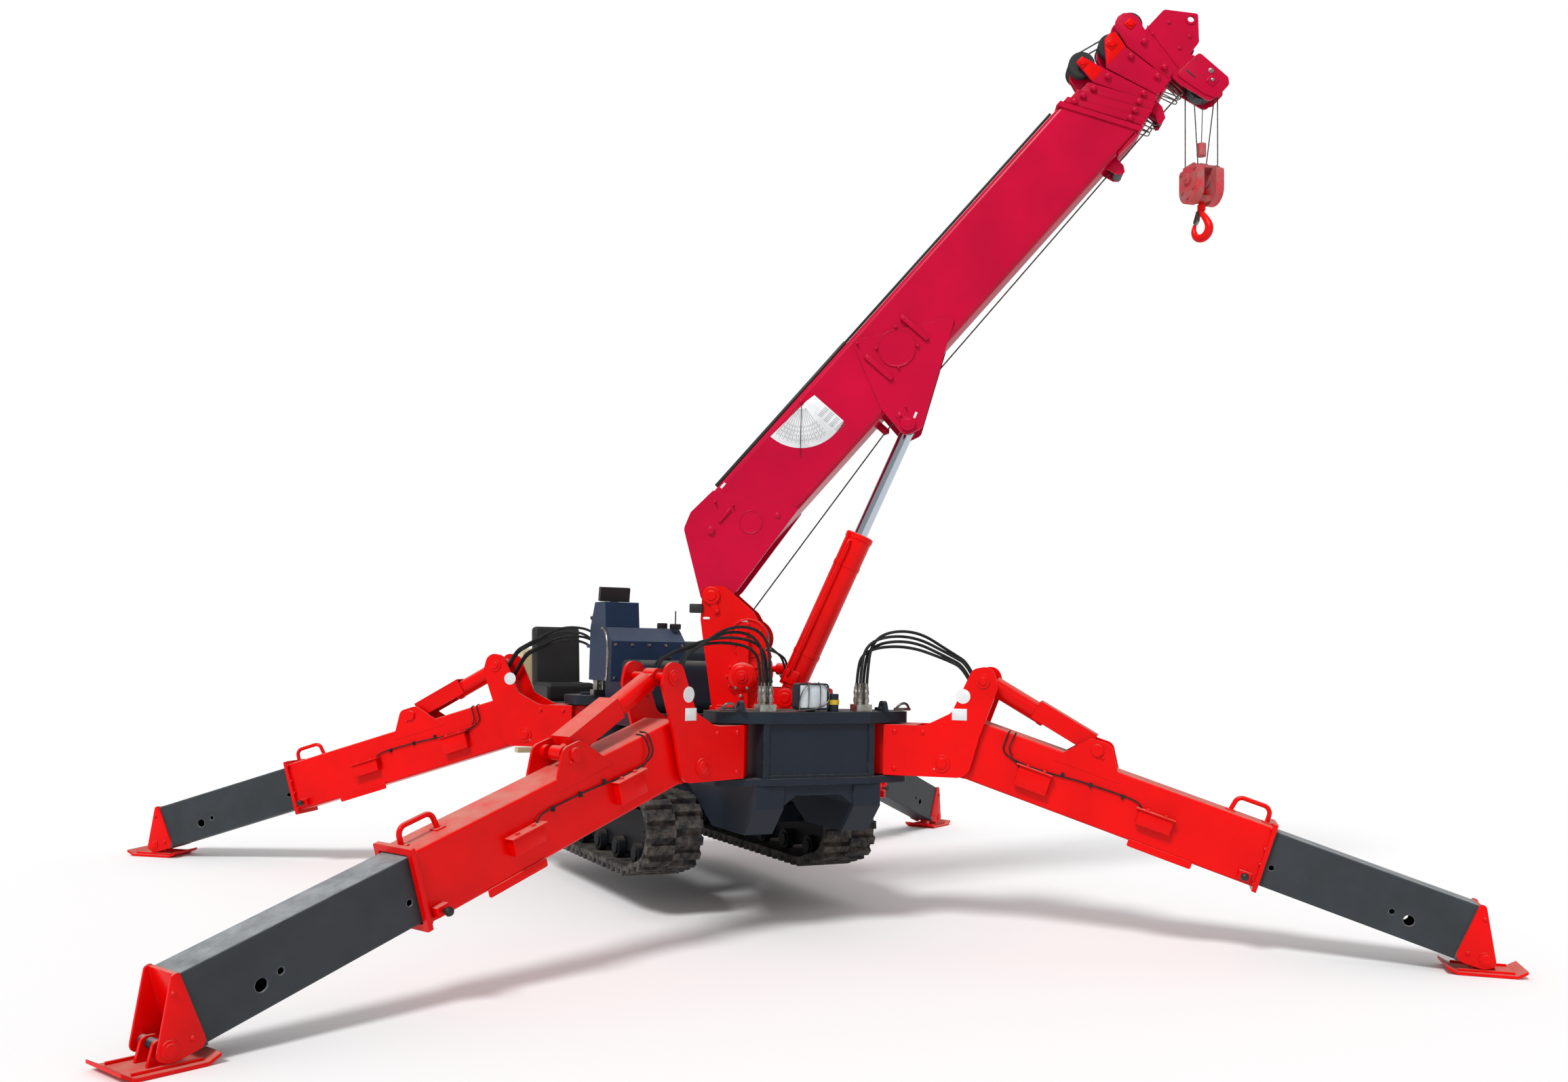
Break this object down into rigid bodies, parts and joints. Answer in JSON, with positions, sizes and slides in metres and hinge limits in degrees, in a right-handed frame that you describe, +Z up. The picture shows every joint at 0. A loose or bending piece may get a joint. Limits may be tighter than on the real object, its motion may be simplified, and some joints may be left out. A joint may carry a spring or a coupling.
{
  "type": "tracked spider crane",
  "caption": "Compact tracked crane on spread outrigger legs, with a slewing column, luffing telescopic boom, winch and hook block",
  "frame": {"origin": "middle of the crane's outline, on the ground under the outrigger pads", "axes": "+X from the machine's rear to its crane end, +Z up, +Y to the side the boom points to"},
  "size_m": [7.432, 7.9136, 6.1185],
  "materials": {
    "frame_paint": "semi-gloss",
    "dark_panel": "satin",
    "leg_red": "gloss",
    "boom_red": "gloss",
    "leg_grey": "worn satin",
    "chrome_rod": "polished",
    "track_rubber": "matte",
    "black_plastic": "matte",
    "seat_vinyl": "matte",
    "engine_iron": "rough",
    "hook_red": "worn"
  },
  "bodies": {
    "chassis": {"chassis_frame": "frame_paint", "undercarriage": "frame_paint", "track_left": "track_rubber", "track_right": "track_rubber", "body_shell": "dark_panel", "engine_hood": "dark_panel", "engine": "engine_iron", "fuel_tank": "dark_panel", "control_console": "dark_panel", "operator_controls": "black_plastic", "seat": "seat_vinyl", "front_fittings": "frame_paint", "rear_box": "leg_grey", "hose_couplings": "chrome_rod"},
    "crane_column": {"crane_column": "leg_red", "slew_motor": "leg_red"},
    "winch_drum": {"winch_drum": "leg_red"},
    "boom_base": {"boom_base": "boom_red"},
    "boom_2": {"boom_2": "boom_red"},
    "boom_3": {"boom_3": "boom_red"},
    "boom_4": {"boom_4": "boom_red"},
    "boom_5": {"boom_5": "boom_red"},
    "boom_6": {"boom_6": "boom_red"},
    "boom_7": {"boom_7": "boom_red"},
    "luff_barrel": {"luff_barrel": "leg_red"},
    "luff_rod": {"luff_rod": "chrome_rod"},
    "hook_fall": {"overwind_weight": "hook_red"},
    "hook_block": {"hook_block": "hook_red"},
    "hook": {"hook": "hook_red"},
    "knuckle_front_right": {"knuckle_front_right": "leg_red"},
    "outer_leg_front_right": {"outer_leg_front_right": "leg_red"},
    "inner_leg_front_right": {"inner_leg_front_right": "leg_grey"},
    "pad_front_right": {"pad_front_right": "leg_red"},
    "leg_barrel_front_right": {"leg_barrel_front_right": "leg_red"},
    "leg_rod_front_right": {"leg_rod_front_right": "boom_red"},
    "knuckle_front_left": {"knuckle_front_left": "leg_red"},
    "outer_leg_front_left": {"outer_leg_front_left": "leg_red"},
    "inner_leg_front_left": {"inner_leg_front_left": "leg_grey"},
    "pad_front_left": {"pad_front_left": "leg_red"},
    "leg_barrel_front_left": {"leg_barrel_front_left": "leg_red"},
    "leg_rod_front_left": {"leg_rod_front_left": "boom_red"},
    "knuckle_rear_right": {"knuckle_rear_right": "leg_red"},
    "outer_leg_rear_right": {"outer_leg_rear_right": "leg_red"},
    "inner_leg_rear_right": {"inner_leg_rear_right": "leg_grey"},
    "pad_rear_right": {"pad_rear_right": "leg_red"},
    "leg_barrel_rear_right": {"leg_barrel_rear_right": "leg_red"},
    "leg_rod_rear_right": {"leg_rod_rear_right": "boom_red"},
    "knuckle_rear_left": {"knuckle_rear_left": "leg_red"},
    "outer_leg_rear_left": {"outer_leg_rear_left": "leg_red"},
    "inner_leg_rear_left": {"inner_leg_rear_left": "leg_grey"},
    "pad_rear_left": {"pad_rear_left": "leg_red"},
    "leg_barrel_rear_left": {"leg_barrel_rear_left": "leg_red"},
    "leg_rod_rear_left": {"leg_rod_rear_left": "boom_red"}
  },
  "joints": [
    {"name": "slew", "type": "hinge", "parent": "chassis", "child": "crane_column", "pos_m": [0.49537, 0.05196, 1.325], "axis": [0, 0, 1], "continuous": true},
    {"name": "winch", "type": "hinge", "parent": "crane_column", "child": "winch_drum", "pos_m": [0.44335, -0.03461, 1.825], "axis": [0.8572, -0.515, 0], "continuous": true},
    {"name": "luff", "type": "hinge", "parent": "crane_column", "child": "boom_base", "pos_m": [0.3151, -0.24805, 2.1], "axis": [0.8572, -0.515, 0], "range_deg": [-49.2, 30.8]},
    {"name": "luff_barrel_pivot", "type": "hinge", "parent": "crane_column", "child": "luff_barrel", "pos_m": [0.57262, 0.18054, 1.44], "axis": [0.8572, -0.515, 0], "range_deg": [-40.84, 25.76]},
    {"name": "luff_stroke", "type": "slide", "parent": "luff_barrel", "child": "luff_rod", "axis": [0.2039, 0.3394, 0.9183], "range_m": [-0.7399, 0.4669]},
    {"name": "telescope_2", "type": "slide", "parent": "boom_base", "child": "boom_2", "axis": [0.3365, 0.5601, 0.757], "range_m": [0, 2.28]},
    {"name": "telescope_3", "type": "slide", "parent": "boom_2", "child": "boom_3", "axis": [0.3365, 0.5601, 0.757], "range_m": [0, 2.28]},
    {"name": "telescope_4", "type": "slide", "parent": "boom_3", "child": "boom_4", "axis": [0.3365, 0.5601, 0.757], "range_m": [0, 2.28]},
    {"name": "telescope_5", "type": "slide", "parent": "boom_4", "child": "boom_5", "axis": [0.3365, 0.5601, 0.757], "range_m": [0, 2.28]},
    {"name": "telescope_6", "type": "slide", "parent": "boom_5", "child": "boom_6", "axis": [0.3365, 0.5601, 0.757], "range_m": [0, 2.28]},
    {"name": "telescope_7", "type": "slide", "parent": "boom_6", "child": "boom_7", "axis": [0.3365, 0.5601, 0.757], "range_m": [0, 2.28]},
    {"name": "hook_plumb", "type": "hinge", "parent": "boom_7", "child": "hook_fall", "pos_m": [1.97584, 2.51587, 5.60604], "axis": [0.8572, -0.515, 0], "range_deg": [-31.3, 49.7]},
    {"name": "hoist", "type": "slide", "parent": "hook_fall", "child": "hook_block", "axis": [0, 0, -1], "range_m": [-0.05, 4.2]},
    {"name": "hook_swivel", "type": "hinge", "parent": "hook_block", "child": "hook", "pos_m": [1.97584, 2.51587, 4.96604], "axis": [0, 0, 1], "continuous": true},
    {"name": "leg_swing_front_right", "type": "hinge", "parent": "chassis", "child": "knuckle_front_right", "pos_m": [1.11537, 0.59196, 0.93], "axis": [0, 0, 1], "range_deg": [-28.3, 31.7]},
    {"name": "leg_lift_front_right", "type": "hinge", "parent": "knuckle_front_right", "child": "outer_leg_front_right", "pos_m": [1.39477, 0.90555, 1.065], "axis": [0.7466, -0.6652, 0], "range_deg": [-10, 25]},
    {"name": "leg_reach_front_right", "type": "slide", "parent": "outer_leg_front_right", "child": "inner_leg_front_right", "axis": [0.6327, 0.7101, -0.309], "range_m": [-1.05, 0.2]},
    {"name": "pad_tilt_front_right", "type": "hinge", "parent": "inner_leg_front_right", "child": "pad_front_right", "pos_m": [3.46426, 3.2283, 0.08994], "axis": [0.7466, -0.6652, 0], "range_deg": [-10, 30]},
    {"name": "leg_barrel_pivot_front_right", "type": "hinge", "parent": "knuckle_front_right", "child": "leg_barrel_front_right", "pos_m": [1.56506, 1.09669, 1.585], "axis": [0.7466, -0.6652, 0], "range_deg": [-11.5, 28]},
    {"name": "leg_stroke_front_right", "type": "slide", "parent": "leg_barrel_front_right", "child": "leg_rod_front_right", "axis": [0.5758, 0.6463, -0.5007], "range_m": [-0.257, 0.1088]},
    {"name": "leg_swing_front_left", "type": "hinge", "parent": "chassis", "child": "knuckle_front_left", "pos_m": [1.11537, -0.48804, 0.93], "axis": [0, 0, 1], "range_deg": [-14.4, 45.6]},
    {"name": "leg_lift_front_left", "type": "hinge", "parent": "knuckle_front_left", "child": "outer_leg_front_left", "pos_m": [1.28887, -0.87053, 1.065], "axis": [-0.9107, -0.4131, 0], "range_deg": [-10, 25]},
    {"name": "leg_reach_front_left", "type": "slide", "parent": "outer_leg_front_left", "child": "inner_leg_front_left", "axis": [0.3929, -0.8661, -0.309], "range_m": [-1.05, 0.2]},
    {"name": "pad_tilt_front_left", "type": "hinge", "parent": "inner_leg_front_left", "child": "pad_front_left", "pos_m": [2.57402, -3.70362, 0.08994], "axis": [-0.9107, -0.4131, 0], "range_deg": [-10, 30]},
    {"name": "leg_barrel_pivot_front_left", "type": "hinge", "parent": "knuckle_front_left", "child": "leg_barrel_front_left", "pos_m": [1.39463, -1.10366, 1.585], "axis": [-0.9107, -0.4131, 0], "range_deg": [-11.5, 28]},
    {"name": "leg_stroke_front_left", "type": "slide", "parent": "leg_barrel_front_left", "child": "leg_rod_front_left", "axis": [0.3576, -0.7883, -0.5007], "range_m": [-0.257, 0.1088]},
    {"name": "leg_swing_rear_right", "type": "hinge", "parent": "chassis", "child": "knuckle_rear_right", "pos_m": [-1.32463, 0.69196, 0.93], "axis": [0, 0, 1], "range_deg": [-21.6, 28.4]},
    {"name": "leg_lift_rear_right", "type": "hinge", "parent": "knuckle_rear_right", "child": "outer_leg_rear_right", "pos_m": [-1.54471, 1.04969, 1.065], "axis": [0.8517, 0.524, 0], "range_deg": [-10, 25]},
    {"name": "leg_reach_rear_right", "type": "slide", "parent": "outer_leg_rear_right", "child": "inner_leg_rear_right", "axis": [-0.4983, 0.81, -0.309], "range_m": [-1.05, 0.2]},
    {"name": "pad_tilt_rear_right", "type": "hinge", "parent": "inner_leg_rear_right", "child": "pad_rear_right", "pos_m": [-3.1748, 3.69937, 0.08994], "axis": [0.8517, 0.524, 0], "range_deg": [-10, 30]},
    {"name": "leg_barrel_pivot_rear_right", "type": "hinge", "parent": "knuckle_rear_right", "child": "leg_barrel_rear_right", "pos_m": [-1.67885, 1.26773, 1.585], "axis": [0.8517, 0.524, 0], "range_deg": [-11.5, 28]},
    {"name": "leg_stroke_rear_right", "type": "slide", "parent": "leg_barrel_rear_right", "child": "leg_rod_rear_right", "axis": [-0.4536, 0.7373, -0.5007], "range_m": [-0.257, 0.1088]},
    {"name": "leg_swing_rear_left", "type": "hinge", "parent": "chassis", "child": "knuckle_rear_left", "pos_m": [-1.32463, -0.58804, 0.93], "axis": [0, 0, 1], "range_deg": [-22.6, 27.4]},
    {"name": "leg_lift_rear_left", "type": "hinge", "parent": "knuckle_rear_left", "child": "outer_leg_rear_left", "pos_m": [-1.57973, -0.92169, 1.065], "axis": [-0.7944, 0.6074, 0], "range_deg": [-10, 25]},
    {"name": "leg_reach_rear_left", "type": "slide", "parent": "outer_leg_rear_left", "child": "inner_leg_rear_left", "axis": [-0.5776, -0.7555, -0.309], "range_m": [-1.05, 0.2]},
    {"name": "pad_tilt_rear_left", "type": "hinge", "parent": "inner_leg_rear_left", "child": "pad_rear_left", "pos_m": [-3.46925, -3.39308, 0.08994], "axis": [-0.7944, 0.6074, 0], "range_deg": [-10, 30]},
    {"name": "leg_barrel_pivot_rear_left", "type": "hinge", "parent": "knuckle_rear_left", "child": "leg_barrel_rear_left", "pos_m": [-1.73522, -1.12506, 1.585], "axis": [-0.7944, 0.6074, 0], "range_deg": [-11.5, 28]},
    {"name": "leg_stroke_rear_left", "type": "slide", "parent": "leg_barrel_rear_left", "child": "leg_rod_rear_left", "axis": [-0.5257, -0.6877, -0.5007], "range_m": [-0.257, 0.1088]}
  ],
  "couplings": [
    {"joint": "luff_barrel_pivot", "follows": "luff", "ratio": 0.82},
    {"joint": "luff_stroke", "follows": "luff", "m_per_rad": 0.85},
    {"joint": "telescope_3", "follows": "telescope_2", "ratio": 1},
    {"joint": "telescope_4", "follows": "telescope_2", "ratio": 1},
    {"joint": "telescope_5", "follows": "telescope_2", "ratio": 1},
    {"joint": "telescope_6", "follows": "telescope_2", "ratio": 1},
    {"joint": "telescope_7", "follows": "telescope_2", "ratio": 1},
    {"joint": "hook_plumb", "follows": "luff", "ratio": -1},
    {"joint": "leg_barrel_pivot_front_right", "follows": "leg_lift_front_right", "ratio": 1.1},
    {"joint": "leg_stroke_front_right", "follows": "leg_lift_front_right", "m_per_rad": -0.566},
    {"joint": "leg_barrel_pivot_front_left", "follows": "leg_lift_front_left", "ratio": 1.1},
    {"joint": "leg_stroke_front_left", "follows": "leg_lift_front_left", "m_per_rad": -0.566},
    {"joint": "leg_barrel_pivot_rear_right", "follows": "leg_lift_rear_right", "ratio": 1.1},
    {"joint": "leg_stroke_rear_right", "follows": "leg_lift_rear_right", "m_per_rad": -0.566},
    {"joint": "leg_barrel_pivot_rear_left", "follows": "leg_lift_rear_left", "ratio": 1.1},
    {"joint": "leg_stroke_rear_left", "follows": "leg_lift_rear_left", "m_per_rad": -0.566}
  ]
}
